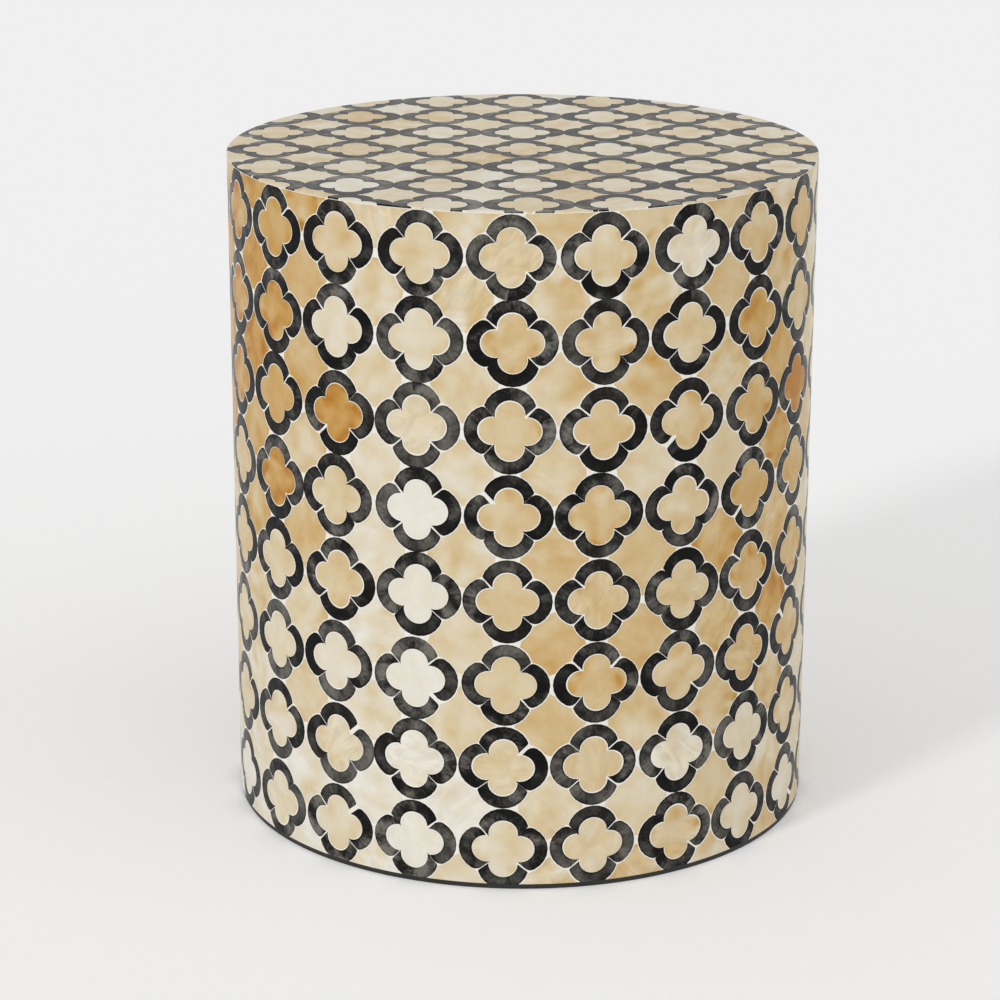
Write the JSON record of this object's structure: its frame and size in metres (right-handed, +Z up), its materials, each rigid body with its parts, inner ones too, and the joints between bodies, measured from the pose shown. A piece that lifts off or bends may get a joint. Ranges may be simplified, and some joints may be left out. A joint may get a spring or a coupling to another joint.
{
  "type": "drum stool",
  "caption": "Round drum stool, a closed hollow cylinder with a flat seat, covered in a quatrefoil inlay of cream and black shell pieces.",
  "frame": {"origin": "centre of the underside, on the floor", "axes": "+Z up along the drum's axis, -Y towards the front of the inlay pattern, +X to its right"},
  "size_m": [0.35, 0.35, 0.4],
  "materials": {
    "black_paint": "hardboard painted satin black",
    "plywood": "plain sanded plywood",
    "bent_ply": "thin bending plywood",
    "batten_wood": "planed softwood",
    "screw_steel": "zinc-plated wood screw",
    "pale_filler": "off-white resin filler, sanded flush and lacquered",
    "pale_shell": "cream to amber shell, polished and lacquered",
    "black_shell": "black to grey shell, polished and lacquered"
  },
  "bodies": {
    "root": {"base_panel": "black_paint", "base_screws": "screw_steel", "battens": "batten_wood", "inner_ply": "bent_ply", "lower_batten_screws": "screw_steel", "lower_former": "plywood", "middle_former": "plywood", "outer_ply": "bent_ply", "rim_filler": "pale_filler", "side_filler": "pale_filler", "side_hearts_row_1": "pale_shell", "side_hearts_row_2": "pale_shell", "side_hearts_row_3": "pale_shell", "side_hearts_row_4": "pale_shell", "side_hearts_row_5": "pale_shell", "side_hearts_row_6": "pale_shell", "side_hearts_row_7": "pale_shell", "side_hearts_row_8": "pale_shell", "side_petals_row_1": "black_shell", "side_petals_row_2": "black_shell", "side_petals_row_3": "black_shell", "side_petals_row_4": "black_shell", "side_petals_row_5": "black_shell", "side_petals_row_6": "black_shell", "side_petals_row_7": "black_shell", "side_petals_row_8": "black_shell", "side_stars_base": "pale_shell", "side_stars_rim": "pale_shell", "side_stars_row_1": "pale_shell", "side_stars_row_2": "pale_shell", "side_stars_row_3": "pale_shell", "side_stars_row_4": "pale_shell", "side_stars_row_5": "pale_shell", "side_stars_row_6": "pale_shell", "side_stars_row_7": "pale_shell", "top_board": "plywood", "top_filler": "pale_filler", "top_hearts": "pale_shell", "top_petals": "black_shell", "top_screws": "screw_steel", "top_stars": "pale_shell", "upper_batten_screws": "screw_steel", "upper_former": "plywood"}
  },
  "joints": []
}
